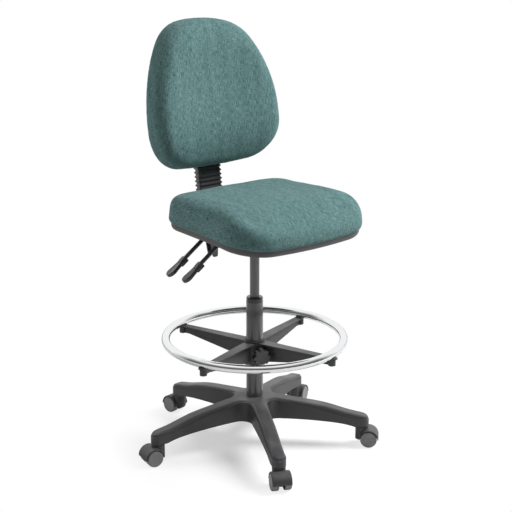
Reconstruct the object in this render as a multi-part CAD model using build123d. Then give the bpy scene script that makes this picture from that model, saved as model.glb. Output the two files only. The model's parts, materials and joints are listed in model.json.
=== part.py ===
from build123d import *
from math import asin, cos, degrees, radians, sin
import os

# A drafting chair: five-arm caster base, gas lift, sliding foot ring, two-lever
# mechanism, and a back that tilts and slides on its bar.  Millimetres.  The origin
# lies on the floor under the column, +Z is up, the sitter faces -Y, and the two
# levers are on the sitter's right (-X).

# ---------------------------------------------------------------- fits
press_gap = 0.02          # between pieces that are pressed or seated together
running_gap = 0.08        # radial, between a shaft and the bore it turns in
seat_gap = 0.3            # between faces of pieces that move on each other
soft_gap = 0.3            # between a soft piece and its neighbour

# ---------------------------------------------------------------- five-arm base
arm_count = 5
first_arm_angle = 26.0
caster_circle_r = 324.0   # caster stems from the column axis
arm_tip_r = 20.5          # rounded end of an arm, in plan
arm_root_half = 24.0      # half width of an arm near the hub
arm_root_r = 60.0         # where that width is
arm_corner_r = 30.0       # concave corner between two arms
arm_wall = 4.0
arm_roof = 5.0
crown_step = 1.8          # ledge between the side walls and the rounded crown
crown_fillet = 8.0
crown_sink = 8.0          # crown's own underside, above that of the walls
arm_under_z = 63.0        # underside of the arm ends
hub_top_z = 147.0
hub_under_z = 80.0
hub_land_r = 40.0         # flat land around the column
crown_line = ((118.0, 139.5), (220.0, 124.0), (300.0, 103.0))   # radius and height along an arm
crown_tip_z = 84.0
wall_top_drop = 14.0      # the side walls' top, below the crown
wall_tip_z = 78.0
under_line = ((220.0, 77.5), (130.0, 82.0))                     # the arched underside
arm_overrun = 4.0         # length trimmed off by the round arm ends
rib_wall = 3.0
rib_spacing = 52.0

# ---------------------------------------------------------------- casters
wheel_r = 25.0
wheel_width = 20.5
caster_trail = 21.0       # axle behind the stem
hood_web = 15.0           # wall between the two wheels
web_r = 15.0              # that wall around the axle
wheel_side_gap = 0.6
fender_gap = 1.6          # wheel tread to the inside of the hood
fender_wall = 3.2
neck_r = 19.5
axle_r = 3.0
axle_end = 5.5            # axle's end inside the wheel's face
stem_r = 5.5
stem_depth = 26.0         # stem inside the arm
stem_collar_r = 9.0
stem_collar = 1.5
stem_in_hood = 22.0
groove_r = 4.6

# ---------------------------------------------------------------- gas lift
tube_r = 25.0
tube_wall = 2.0
tube_bottom_z = 66.0
tube_top_z = 442.0
tube_floor = 3.0
tube_taper = 1.0          # the tube narrows by this much radius into the hub
bush_length = 80.0
bush_collar = 15.0
bush_collar_r = 24.6
cylinder_r = 14.0
cylinder_wall = 1.5
cylinder_bottom_z = 285.0
cylinder_taper = 0.9
cylinder_cap = 8.0
rod_r = 5.0
rod_top_z = 440.0
piston_length = 16.0
gland_length = 22.0
valve_r = 3.0
valve_rise = 8.0          # valve pin above the cylinder
valve_length = 24.0
bearing_washer = 2.0
bearing_ball_r = 2.5
bearing_r = 11.0
bearing_outer_r = 15.0
ball_count = 8
buffer_height = 18.0
shoulder_r = 9.0
clip_thick = 2.0
clip_bite = 1.2           # depth of the clip's groove
rod_tail = 6.0            # rod below the tube

# ---------------------------------------------------------------- seat
pan_floor_z = 672.0       # inner floor of the seat pan, under the board
pan_wall = 3.0
rim_height = 21.0
seat_front_y = -240.0
seat_rear_y = 172.0
seat_front_half = 240.0
seat_rear_half = 208.0
seat_bow = 24.0
seat_front_r = 106.0
seat_rear_r = 88.0
seat_rear_bow = 4.0
seat_dip_y = -75.0        # ahead of this the seat curves down
seat_dip_r = 1070.0
rim_corner_r = 12.0
board_thick = 12.0
nut_barrel_r = 5.0
nut_flange_r = 11.0
nut_flange = 1.5
waterfall_y = -120.0      # where the top starts to fall towards the front
waterfall_drop = 46.0
cushion_low_r = 9.0
cushion_top_r = 28.0
cushion_thick = 69.0      # above the rim
cushion_bulge = 9.0       # cushion beyond the rim

# ---------------------------------------------------------------- mechanism
housing_top_z = pan_floor_z
housing_depth = 75.0
housing_half = 42.0
housing_front_y = -58.0
housing_rear_y = 112.0
housing_wall = 3.0
plate_half = 92.0
pan_margin = 3.0          # pan's opening around the plate
ear_margin = 8.0          # plate's ear beyond the lever bracket
plate_front_y = -72.0
plate_rear_y = 122.0
seat_bolt_x = 75.0
seat_bolt_y = (-50.0, 100.0)
seat_bolt_r = 4.0
cone_wall = 4.0
cone_length = 50.0
lever_y = (-8.0, 66.0)    # height lever, back lever
lever_level = 10.5        # rods' level run, below the board
lever_pivot_run = 20.0    # pivot from the bend, down the slope
lever_rod_r = 6.0
lever_boss_r = 7.5
lever_boss_half = 6.0
lever_pin_r = 3.5
lever_bend_x = -112.0
lever_drop = 34.0         # degrees below level
lever_slope = 134.0       # sloping rod, from the bend to its end inside the paddle
lever_bend_r = 14.0
paddle_start = 113.0      # from the bend to the mouth of the paddle
paddle_length = 72.0
paddle_half = 18.0
paddle_mouth_half = 9.0
paddle_thick = 12.0
paddle_roll = 14.0        # degrees, dished face turned a little to the front
paddle_dish = 2.5
arm_mount_x = 190.0
arm_mount_y = (-60.0, 20.0)
arm_mount_hole_r = 4.2
paddle_dish_r = 70.0
valve_pad = 8.0           # half length of the height lever's pad over the valve
lever_reach_in = (10.0, -34.0)                                  # inner ends of the two rods
bracket_x = (-147.0, -119.0)                                    # lever bracket, at its root
bracket_y = (19.0, 43.0)
bracket_drop = 72.0       # its height under the plate
bracket_sheet = 2.5
bracket_side_gap = 0.4    # lever boss to bracket wall

# ---------------------------------------------------------------- back
bar_width = 56.0
bar_thick = 8.0
bar_pivot_y = 92.0
bar_pivot_z = 641.0
bar_y = 197.0             # upright run, where it leaves the bend
bar_bend_r = 34.0
bar_length = 390.0        # upright run above the level one
bar_sleeve_r = 11.0
bar_lean = 8.0            # degrees of recline at rest
pivot_pin_r = 6.0
bellows_width = 88.0
bellows_depth = 29.0
bellows_pitch = 12.6
bellows_fold = 3.4
bellows_low = 62.0        # above the bend corner
bellows_gap = 1.5
bellows_throat = 2.0      # room beside the bellows in the cushion's lip
notch_count = 6           # ratchet notches in the bar
notch_first = 292.0
notch_pitch = 10.0
notch_width = 14.0
notch_height = 5.0
pawl_half = 5.7           # half height of the catch
pawl_window = 6.0
back_width = 432.0        # at the widest
back_waist = 0.36         # height of the widest place, as a part of the whole
back_low_tuck = 18.0      # how far the sides come in at the bottom
back_low_bow = 14.0
back_low_r = 110.0
back_high_tuck = 102.0    # and at the top
back_high_bow = 16.0
back_high_r = 128.0
back_height = 412.0
back_wrap_r = 620.0       # curve of the back in plan
back_board_thick = 10.0
back_shell_wall = 3.0
back_cushion_thick = 55.0
back_cavity = 35.0        # room for the bracket between board and shell
back_lip = 6.0            # shell's edge inside the outline
back_lip_reach = 16.0     # foam and cover behind the board's rear
back_bulge = 7.0          # cushion beyond the outline
back_rise = 184.0         # bottom of the back above the level run of the bar
shell_corner_r = 17.0
back_round_r = 24.0
back_tuck_r = 10.0
screw_r = 3.0
bracket_width = 94.0
back_screw_x = 39.5
back_screw_end = 22.0     # from the bracket's ends
bracket_wall = 4.0
bracket_slide_gap = 0.4
bracket_height = 150.0
bracket_rise = 96.0       # its bottom above the bottom of the back

# ---------------------------------------------------------------- foot ring
ring_r = 264.0            # centre line
ring_tube_r = 12.5
ring_tube_wall = 1.5
ring_z = 329.0
ring_angle = 17.0
spoke_count = 4
spoke_tip_r = 281.0
spoke_root_width = 34.0
spoke_tip_width = 21.0
spoke_flange = 4.0
spoke_web = 5.0
spider_hub_r = 31.0
spoke_top_z = 319.0
spoke_tip_depth = 24.0
spoke_root_depth = 58.0
ring_screw_r = 3.0
bush_split = 3.0
boss_r = 11.0
boss_reach = 42.0
spider_low_z = 244.0
ring_bush_wall = 3.0
ring_bush_flange = 7.0
knob_z = 286.0
knob_offset = 8.0         # degrees from midway between two spokes
knob_lobes = 8
knob_r = 26.0
knob_thick = 18.0
stud_r = 4.0

os.makedirs("parts", exist_ok=True)

on_base = (Align.CENTER, Align.CENTER, Align.MIN)


def save(name, shape):
    export_step(shape, f"parts/{name}.step")


def drum(radius, low, high):
    """Upright cylinder on the column axis between two heights."""
    return Pos(0, 0, low) * Cylinder(radius, high - low, align=on_base)


def pin(radius, length, start=(0, 0, 0), along=(0, 0, 1)):
    """Round bar from a start point in a direction."""
    return Plane(start, z_dir=along) * Cylinder(radius, length, align=on_base)


def turned(points):
    """Solid of revolution from (radius, height) points."""
    return revolve(Plane.XZ * make_face(Polyline(*points, close=True)), Axis.Z)


def around(shape, angle):
    return Rot(0, 0, angle) * shape


def stadium(half_length, radius):
    return SlotCenterToCenter(2 * half_length, 2 * radius)


# ================================================================ five-arm base

arm_angles = [first_arm_angle + 360 / arm_count * i for i in range(arm_count)]


def polar(radius, angle):
    return Vector(radius * cos(radians(angle)), radius * sin(radians(angle)))


def star_plan(inset, corner):
    """Plan of the base: tapered arms with round ends, joined by concave corners."""
    half_step = 180 / arm_count
    taper = degrees(asin((arm_root_half - arm_tip_r) / (caster_circle_r - arm_root_r)))
    reach = arm_root_r * sin(radians(taper)) + arm_root_half - inset
    corner_centre = polar((reach + corner) / sin(radians(half_step + taper)), half_step)
    side_top = corner_centre - polar(corner, 90 - taper)
    side_end = Vector(caster_circle_r, 0) + polar(arm_tip_r - inset, 90 - taper)
    corner_mid = polar(corner_centre.length - corner, half_step)
    tip = (caster_circle_r + arm_tip_r - inset, 0)
    edges = []
    for angle in arm_angles:
        half = [Line(side_top, side_end)]
        half.append(ThreePointArc(side_end, tip, (side_end.X, -side_end.Y)))
        half.append(Line((side_top.X, -side_top.Y), (side_end.X, -side_end.Y)))
        next_side = Vector(side_top.X, -side_top.Y).rotate(Axis.Z, 2 * half_step)
        half.append(ThreePointArc(side_top, corner_mid, next_side))
        edges += [around(edge, angle) for edge in half]
    return make_face(edges)


def base_block(crown_drop, tip_z, low_drop):
    """Body of revolution between the crown curve and the arched underside."""
    end_r = caster_circle_r + arm_tip_r + arm_overrun
    wall_r = caster_circle_r - arm_tip_r
    land = hub_top_z - crown_drop * 0.2
    low = arm_under_z - low_drop
    hub_low = hub_under_z - low_drop
    near, mid, far = crown_line
    top = Spline(
        (hub_land_r, land),
        (near[0], near[1] - crown_drop * 0.6),
        (mid[0], mid[1] - crown_drop),
        (far[0], far[1] - crown_drop * 0.9),
        (end_r, tip_z),
        tangents=((1, 0), (1, -1.5)),
    )
    under = Spline(
        (wall_r, low),
        *[(radius, height - low_drop) for radius, height in under_line],
        (hub_land_r, hub_low),
        tangents=((-1, 0.35), (-1, -0.1)),
    )
    outline = [
        Line((0, land), (hub_land_r, land)),
        top,
        Line((end_r, tip_z), (end_r, low)),
        Line((end_r, low), (wall_r, low)),
        under,
        Line((hub_land_r, hub_low), (0, hub_low)),
        Line((0, hub_low), (0, land)),
    ]
    return revolve(Plane.XZ * make_face(outline), Axis.Z)


def is_crown_rim(edge):
    """Long curved edges of the crown, away from the hub and the arms' undersides."""
    centre = edge.center()
    outside = Vector(centre.X, centre.Y).length > hub_land_r + 4
    return outside and edge.geom_type != GeomType.LINE and centre.Z > arm_under_z + 12


def rounded_crown():
    """The arms' raised top, its long edges rounded over."""
    plan = star_plan(crown_step, arm_corner_r + crown_step)
    block = base_block(0, crown_tip_z, -crown_sink) & extrude(plan, hub_top_z)
    return fillet(block.edges().filter_by(is_crown_rim), crown_fillet)


def base_star():
    walls = base_block(wall_top_drop, wall_tip_z, 0) & extrude(star_plan(0, arm_corner_r), hub_top_z)
    body = rounded_crown() + walls
    pocket_plan = star_plan(arm_wall + crown_step, arm_corner_r - 4) - Circle(tube_r + 6)
    for angle in arm_angles:
        pocket_plan -= around(Pos(caster_circle_r + 20, 0) * Rectangle(84, 60), angle)
        for rib in range(4):
            rib_r = arm_root_r + 14 + rib_spacing * rib
            lean = 55 if rib % 2 else -55
            pocket_plan -= around(Pos(rib_r, 0) * Rot(0, 0, lean) * Rectangle(rib_wall, 80), angle)
    body -= extrude(pocket_plan, hub_top_z) & base_block(wall_top_drop + arm_roof, 70, 30)
    body -= hub_bore()
    for angle in arm_angles:
        socket = pin(stem_r + press_gap, stem_depth + 1, (caster_circle_r, 0, arm_under_z - 1))
        body -= around(socket, angle)
    return body


# ================================================================ gas lift

def tube_radius(z):
    """Outer radius of the column tube, which narrows inside the hub."""
    if z >= hub_top_z:
        return tube_r
    return tube_r - tube_taper * (hub_top_z - z) / (hub_top_z - tube_bottom_z)


def hub_bore():
    low = hub_under_z - 10
    profile = [
        (0, low),
        (tube_radius(low) + press_gap, low),
        (tube_r + press_gap, hub_top_z),
        (tube_r + press_gap, hub_top_z + 5),
        (0, hub_top_z + 5),
    ]
    return turned(profile)


def column_tube():
    inner = tube_r - tube_wall
    outer_low = tube_radius(tube_bottom_z)
    profile = [
        (rod_r + 0.5, tube_bottom_z),
        (outer_low, tube_bottom_z),
        (tube_r, hub_top_z),
        (tube_r, tube_top_z),
        (inner, tube_top_z),
        (inner, hub_top_z),
        (outer_low - tube_wall, tube_bottom_z + tube_floor),
        (rod_r + 0.5, tube_bottom_z + tube_floor),
    ]
    return turned(profile)


def tube_bush():
    bore = cylinder_r + running_gap
    outer = tube_r - tube_wall - press_gap
    profile = [
        (bore, tube_top_z - bush_length),
        (outer, tube_top_z - bush_length),
        (outer, tube_top_z),
        (bush_collar_r, tube_top_z),
        (bush_collar_r, tube_top_z + bush_collar - 4),
        (bush_collar_r - 1.2, tube_top_z + bush_collar - 1.2),
        (bush_collar_r - 4, tube_top_z + bush_collar),
        (bore, tube_top_z + bush_collar),
    ]
    return turned(profile)


bearing_low_z = tube_bottom_z + tube_floor
bearing_top_z = bearing_low_z + 2 * bearing_washer + 2 * bearing_ball_r


def lower_bearing():
    """Lower race with its balls in a cage, resting on the tube's floor."""
    race = drum(bearing_outer_r, bearing_low_z, bearing_low_z + bearing_washer)
    cage_low = bearing_low_z + bearing_washer
    cage = drum(bearing_outer_r - 1, cage_low + 1.5, cage_low + 3.5)
    bore = drum(rod_r + 1, bearing_low_z - 1, bearing_top_z)
    caged = cage - bore
    for i in range(ball_count):
        spot = polar(bearing_r, 360 / ball_count * i)
        caged += Pos(spot.X, spot.Y, cage_low + bearing_ball_r) * Sphere(bearing_ball_r - press_gap)
    return Compound([race - bore, Pos(0, 0, press_gap) * caged])


def lift_buffer():
    """Rubber ring that cushions the lowest position."""
    top = bearing_top_z + press_gap + buffer_height
    profile = [
        (rod_r + press_gap, bearing_top_z + press_gap),
        (shoulder_r + 4, bearing_top_z + press_gap),
        (shoulder_r + 2, bearing_top_z + buffer_height / 2),
        (shoulder_r + 3, top),
        (rod_r + press_gap, top),
    ]
    return turned(profile)


clip_low_z = tube_bottom_z - seat_gap - clip_thick


def piston_rod():
    """Rod from the clip under the tube to the piston inside the cylinder."""
    low = tube_bottom_z - rod_tail
    rod = drum(rod_r, low, rod_top_z)
    rod += drum(bearing_outer_r, bearing_top_z - bearing_washer + press_gap, bearing_top_z)
    neck = drum(rod_r + 1, clip_low_z, clip_low_z + clip_thick)
    neck -= drum(rod_r - clip_bite, clip_low_z, clip_low_z + clip_thick)
    rod -= neck
    return chamfer(rod.edges().sort_by(Axis.Z)[0], 1)


def rod_clip():
    """Spring clip in the rod's groove, under the tube."""
    plate = Circle(11) - Circle(rod_r - clip_bite + press_gap)
    plate -= Pos(8, 0) * Rectangle(16, 2 * (rod_r - clip_bite - 0.2))
    return Pos(0, 0, clip_low_z + press_gap) * extrude(plate, clip_thick - 2 * press_gap)


def piston():
    low = rod_top_z - piston_length
    outer = cylinder_r - cylinder_wall - running_gap
    body = drum(outer, low, rod_top_z) - drum(rod_r + press_gap, low - 1, rod_top_z + 1)
    groove = drum(outer + 1, low + 6, low + 10) - drum(outer - 1.5, low + 5, low + 11)
    return body - groove


cone_low_z = housing_top_z - housing_depth
cylinder_top_z = cone_low_z + cone_length


def gas_cylinder():
    """Pressure cylinder with its valve bore and the taper that wedges into the mechanism."""
    inner = cylinder_r - cylinder_wall
    profile = [
        (inner, cylinder_bottom_z),
        (cylinder_r, cylinder_bottom_z),
        (cylinder_r, cone_low_z),
        (cylinder_r - cylinder_taper, cylinder_top_z),
        (valve_r + running_gap, cylinder_top_z),
        (valve_r + running_gap, cylinder_top_z - cylinder_cap),
        (inner - 1, cylinder_top_z - cylinder_cap),
        (inner, cylinder_top_z - cylinder_cap - 8),
    ]
    return turned(profile)


def cylinder_gland():
    """Seal and guide that close the cylinder around the rod."""
    bore = rod_r + running_gap
    outer = cylinder_r - cylinder_wall - press_gap
    return drum(outer, cylinder_bottom_z, cylinder_bottom_z + gland_length) - drum(bore, 0, 400)


def valve_pin():
    top = cylinder_top_z + valve_rise
    shank = drum(valve_r, top - valve_length, top)
    return fillet(shank.edges().sort_by(Axis.Z)[-1], 1)


# ================================================================ casters
# Each is drawn with its stem on the local Z axis and its trail along local +X.

axle_z = wheel_r
neck_top_z = arm_under_z - stem_collar - seat_gap


def caster_hood():
    """Moulded hood: neck under the arm, web between the wheels, fenders over them."""
    half = hood_web / 2 + wheel_side_gap + wheel_width
    inner = wheel_r + fender_gap
    outer = inner + fender_wall
    to_axle = Pos(caster_trail, 0, axle_z) * Rot(90, 0, 0)
    fender = to_axle * Cylinder(outer, 2 * half)
    fender = fillet(fender.edges(), 4)
    fender -= Pos(caster_trail, 0, axle_z - 50) * Box(120, 120, 100)
    neck = Pos(0, 0, axle_z - 4) * extrude(Circle(neck_r), neck_top_z - axle_z + 4)
    neck = fillet(neck.edges().sort_by(Axis.Z)[-1], 1.5)
    shell = fender + neck
    wheels = to_axle * Cylinder(inner, 4 * half)
    shell -= wheels
    web = to_axle * Cylinder(web_r, hood_web)
    bridge = Pos(caster_trail / 2 + 4, 0, axle_z + 10) * Box(caster_trail + 20, hood_web, 34)
    web += bridge & (to_axle * Cylinder(inner + 1, hood_web + 10))
    hood = shell + web
    hood -= pin(axle_r + press_gap, 60, (caster_trail, -30, axle_z), (0, 1, 0))
    hood -= pin(stem_r + running_gap, stem_in_hood + 1, (0, 0, neck_top_z - stem_in_hood))
    return hood


def caster_stem():
    """Steel stem with its collar and the snap groove near the top."""
    top = arm_under_z + stem_depth
    shank = pin(stem_r, top - neck_top_z + stem_in_hood - 1, (0, 0, neck_top_z - stem_in_hood + 1))
    collar = pin(stem_collar_r, stem_collar, (0, 0, arm_under_z - stem_collar))
    groove = pin(stem_r + 1, 2, (0, 0, top - 7)) - pin(groove_r, 2, (0, 0, top - 7))
    shank = chamfer(shank.edges().sort_by(Axis.Z)[-1], 1.5)
    return shank + collar - groove


def caster_axle():
    length = hood_web + 2 * (wheel_side_gap + wheel_width) - 2 * axle_end
    return pin(axle_r, length, (caster_trail, -length / 2, axle_z), (0, 1, 0))


def caster_wheel(side):
    """Nylon wheel with a rounded tread and a shallow dished face."""
    bore = axle_r + running_gap
    blind = wheel_width - axle_end + 0.5
    profile = [
        (0, wheel_width - 1.2),
        (8, wheel_width - 1.2),
        (wheel_r - 5, wheel_width - 0.2),
        (wheel_r - 3, wheel_width),
        (wheel_r - 0.8, wheel_width - 1.4),
        (wheel_r, wheel_width - 4),
        (wheel_r, 2),
        (wheel_r - 1, 0.6),
        (wheel_r - 3.5, 0),
        (wheel_r - 3.5, wheel_width - 7),
        (9, wheel_width - 6),
        (9, 0),
        (bore, 0),
        (bore, blind),
        (0, blind),
    ]
    wheel = turned(profile)
    inner_face = side * (hood_web / 2 + wheel_side_gap)
    return Pos(caster_trail, inner_face, axle_z) * Rot(-90 * side, 0, 0) * wheel


def at_arm(shape, index):
    return around(Pos(caster_circle_r, 0, 0) * shape, arm_angles[index])


# ================================================================ seat

rim_low_z = pan_floor_z - pan_wall
rim_top_z = rim_low_z + rim_height
board_top_z = pan_floor_z + board_thick


def seat_plan(inset):
    """Seat outline from above: bowed front, sides that narrow to the rear, round corners."""
    front = (seat_front_half - inset, seat_front_y + inset)
    rear = (seat_rear_half - inset, seat_rear_y - inset)
    edges = [
        ThreePointArc((-front[0], front[1]), (0, front[1] - seat_bow), front),
        Line(front, rear),
        ThreePointArc(rear, (0, rear[1] + seat_rear_bow), (-rear[0], rear[1])),
        Line((-rear[0], rear[1]), (-front[0], front[1])),
    ]
    plan = make_face(edges)
    plan = fillet(plan.vertices().sort_by(Axis.Y)[:2], seat_front_r - inset)
    return fillet(plan.vertices().sort_by(Axis.Y)[-2:], seat_rear_r - inset)


def dip_side(low, high, reach):
    """Side outline of a layer of the seat: level at the rear, curving down towards the front."""
    rear = seat_rear_y + reach
    front = seat_front_y - seat_bow - reach
    run = seat_dip_y - front
    drop = seat_dip_r - (seat_dip_r**2 - run**2) ** 0.5
    half_drop = seat_dip_r - (seat_dip_r**2 - run**2 / 4) ** 0.5
    edges = [
        Line((rear, low), (rear, high)),
        Line((rear, high), (seat_dip_y, high)),
        ThreePointArc((seat_dip_y, high), (seat_dip_y - run / 2, high - half_drop), (front, high - drop)),
        Line((front, high - drop), (front, low - drop)),
        ThreePointArc((front, low - drop), (seat_dip_y - run / 2, low - half_drop), (seat_dip_y, low)),
        Line((seat_dip_y, low), (rear, low)),
    ]
    return Plane.YZ * make_face(edges)


def seat_layer(plan, low, high):
    """Layer of the seat between two heights, following the dip at the front."""
    column = slab(plan, low - 60, high + 10)
    return column & extrude(dip_side(low, high, 30), 2 * seat_front_half, both=True)


def slab(plan, low, high):
    return Pos(0, 0, low) * extrude(plan, high - low)


def box_between(low, high):
    size = Vector(*high) - Vector(*low)
    return Pos(*low) * Box(size.X, size.Y, size.Z, align=(Align.MIN, Align.MIN, Align.MIN))


def bolt_spots():
    return [(x, y) for x in (-seat_bolt_x, seat_bolt_x) for y in seat_bolt_y]


def arm_spots():
    return [(x, y) for x in (-arm_mount_x, arm_mount_x) for y in arm_mount_y]


def low_faces(layer):
    """Faces of a layer that look downwards."""
    return layer.faces().filter_by(lambda f: f.normal_at(f.center()).Z < -0.9)


def seat_pan():
    """Moulded tray under the board, open at the mechanism, with holes for armrest bolts."""
    tray = seat_layer(seat_plan(0), rim_low_z, rim_top_z)
    tray = fillet(low_faces(tray).edges(), rim_corner_r)
    hollow = seat_layer(seat_plan(pan_wall), pan_floor_z, rim_top_z + 5)
    tray -= fillet(low_faces(hollow).edges(), rim_corner_r - pan_wall)
    tray -= box_between(
        (-plate_half - pan_margin, plate_front_y - pan_margin, rim_low_z - 1),
        (plate_half + pan_margin, plate_rear_y + pan_margin, pan_floor_z + 1),
    )
    front, rear = bracket_y
    tray -= box_between(
        (bracket_x[0] - pan_margin, front - ear_margin - pan_margin, rim_low_z - 1),
        (0, rear + ear_margin + pan_margin, pan_floor_z + 1),
    )
    for x, y in arm_spots():
        tray -= pin(arm_mount_hole_r + 1, pan_wall + 2, (x, y, rim_low_z - 1))
    return tray


def seat_board():
    board = seat_layer(seat_plan(pan_wall + soft_gap), pan_floor_z, board_top_z)
    board = fillet(low_faces(board).edges(), rim_corner_r - pan_wall)
    for x, y in bolt_spots() + arm_spots():
        board -= pin(nut_barrel_r + press_gap, board_thick + 2, (x, y, pan_floor_z - 1))
        board -= pin(nut_flange_r + press_gap, nut_flange + 1, (x, y, board_top_z - nut_flange))
    return board


def tee_nut(x, y):
    """Nut with its flange let into the top of the board."""
    nut = pin(nut_barrel_r, board_thick - 1, (x, y, pan_floor_z + 1))
    nut += pin(nut_flange_r, nut_flange, (x, y, board_top_z - nut_flange))
    return nut - pin(arm_mount_hole_r - 0.1, board_thick + 2, (x, y, pan_floor_z))


def seat_bolt(x, y):
    """Bolt from under the mechanism plate up into its nut."""
    head = pin(seat_bolt_r + 2.5, 5, (x, y, rim_low_z - 5 - press_gap))
    return head + pin(seat_bolt_r, board_thick + pan_wall, (x, y, rim_low_z - 1))


def seat_cushion():
    """Foam pad: a tongue inside the rim, a body that swells over it, a front that falls away."""
    low = rim_top_z + soft_gap
    body = seat_layer(seat_plan(-cushion_bulge), low, low + cushion_thick)
    body &= extrude(waterfall_side(low - 60, low + cushion_thick), 2 * seat_front_half, both=True)
    body = fillet(low_faces(body).edges(), cushion_low_r)
    upper = body.faces().filter_by(lambda f: f.normal_at(f.center()).Z > 0.5)
    body = fillet(outer_edges(upper), cushion_top_r)
    tongue = seat_layer(seat_plan(pan_wall + soft_gap), board_top_z + press_gap, low + cushion_low_r + 4)
    return body + tongue


def outer_edges(faces):
    """Edges of a group of faces that no two of them share."""
    edges = faces.edges()
    return ShapeList([e for e in edges if sum(e.is_same(other) for f in faces for other in f.edges()) == 1])


def waterfall_side(low, high):
    """Side outline that lets the cushion's top fall away to a soft front."""
    rear = seat_rear_y + 60
    front = seat_front_y - seat_bow - cushion_bulge - 5
    middle = (waterfall_y + front) / 2
    low_front = high - waterfall_drop
    edges = [
        Line((rear, low), (rear, high)),
        Line((rear, high), (waterfall_y, high)),
        ThreePointArc((waterfall_y, high), (middle, high - 0.28 * waterfall_drop), (front, low_front)),
        Line((front, low_front), (front, low)),
        Line((front, low), (rear, low)),
    ]
    return Plane.YZ * make_face(edges)


# ================================================================ mechanism

plate_low_z = rim_low_z
housing_low_z = housing_top_z - housing_depth
lever_level_z = pan_floor_z - pan_wall - lever_level
lever_down = Vector(-cos(radians(lever_drop)), 0, -sin(radians(lever_drop)))
lever_up = Vector(-sin(radians(lever_drop)), 0, cos(radians(lever_drop)))
lever_pivot = Vector(lever_bend_x, 0, lever_level_z) + lever_down * lever_pivot_run


def mount_plate():
    """Flat steel plate bolted to the board, corners rounded, with lightening slots."""
    plan = RectangleRounded(2 * plate_half, plate_rear_y - plate_front_y, 14)
    plate = Pos(0, (plate_rear_y + plate_front_y) / 2, plate_low_z) * extrude(plan, pan_wall)
    front, rear = bracket_y
    ear = (front - ear_margin, rear + ear_margin)
    plate += box_between((bracket_x[0], ear[0], plate_low_z), (0, ear[1], pan_floor_z))
    for x, y in bolt_spots():
        plate -= pin(seat_bolt_r + 0.3, pan_wall + 2, (x, y, plate_low_z - 1))
    for x in (-seat_bolt_x, seat_bolt_x):
        slot = extrude(Rot(0, 0, 90) * stadium(22, 6), pan_wall + 2)
        plate -= Pos(x, sum(seat_bolt_y) / 2, plate_low_z - 1) * slot
    return plate


def housing_side(inset, top_z):
    """Side outline of the mechanism box: deepest at the gas lift, shallower fore and aft."""
    low = housing_low_z + inset
    front = housing_front_y + inset
    rear = housing_rear_y - inset
    points = [
        (front, top_z),
        (front, low + 30),
        (front + 26, low),
        (30, low),
        (rear - 30, low + 20),
        (rear, low + 26),
        (rear, top_z),
    ]
    return Plane.YZ * make_face(Polyline(*points, close=True))


def mechanism_housing():
    """Pressed steel box under the plate with the taper socket, lever slots and bar opening."""
    box = extrude(housing_side(0, plate_low_z), housing_half, both=True)
    low_edges = box.edges().filter_by(Axis.X).filter_by(lambda e: e.center().Z < housing_low_z + 40)
    box = fillet(low_edges, 8)
    box -= extrude(housing_side(housing_wall, plate_low_z + 1), housing_half - housing_wall, both=True)
    for y in lever_y:
        slot = Plane.YZ * Pos(y, lever_level_z - 3) * RectangleRounded(16, 20, 5)
        box -= Pos(-housing_half, 0, 0) * extrude(slot, housing_wall + 2, both=True)
    half = bar_width / 2 + 3
    box -= box_between(
        (-half, housing_rear_y - housing_wall - 1, bar_pivot_z - 14),
        (half, housing_rear_y + 1, bar_pivot_z + 20),
    )
    outer = cylinder_r + cone_wall
    box += drum(outer, housing_low_z + 1, cylinder_top_z)
    box += drum(outer + 6, housing_low_z - 2, housing_low_z + 0.5)
    taper = [
        (0, housing_low_z - 5),
        (cylinder_r + press_gap, housing_low_z - 5),
        (cylinder_r + press_gap, housing_low_z),
        (cylinder_r - cylinder_taper + press_gap, cylinder_top_z),
        (cylinder_r - cylinder_taper + press_gap, cylinder_top_z + 1),
        (0, cylinder_top_z + 1),
    ]
    box -= turned(taper)
    box -= pin(pivot_pin_r + press_gap, 200, (-100, bar_pivot_y, bar_pivot_z), (1, 0, 0))
    return box


def pivot_pin():
    """Pin of the back bar, headed on the left and clipped on the right."""
    reach = housing_half + 5
    shaft = pin(pivot_pin_r, 2 * reach, (-reach, bar_pivot_y, bar_pivot_z), (1, 0, 0))
    head = pin(pivot_pin_r + 3, 3, (housing_half + press_gap, bar_pivot_y, bar_pivot_z), (1, 0, 0))
    clip = pin(pivot_pin_r + 2.5, 1.5, (-housing_half - 2, bar_pivot_y, bar_pivot_z), (1, 0, 0))
    return shaft + head + clip


def lever_bracket():
    """Folded bracket between the levers: two tapering walls and a web."""
    front, rear = bracket_y
    left, right = bracket_x
    low = plate_low_z - bracket_drop
    points = [
        (left, plate_low_z),
        (right, plate_low_z),
        (right - 2, low),
        (left + 9, low),
        (left, plate_low_z - 28),
    ]
    block = extrude(Plane.XZ * make_face(Polyline(*points, close=True)), -(rear - front))
    block = Pos(0, front, 0) * block
    block = fillet(block.edges().filter_by(Axis.Y).group_by(Axis.Z)[0], 5)
    hollow = box_between(
        (left - 5, front + bracket_sheet, low - 5),
        (right - bracket_sheet - 2, rear - bracket_sheet, plate_low_z - bracket_sheet),
    )
    block -= hollow
    return block - pin(lever_pin_r + press_gap, 200, (lever_pivot.X, -60, lever_pivot.Z), (0, 1, 0))


# ================================================================ levers

def lever_bend(y):
    return Vector(lever_bend_x, y, lever_level_z)


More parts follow.
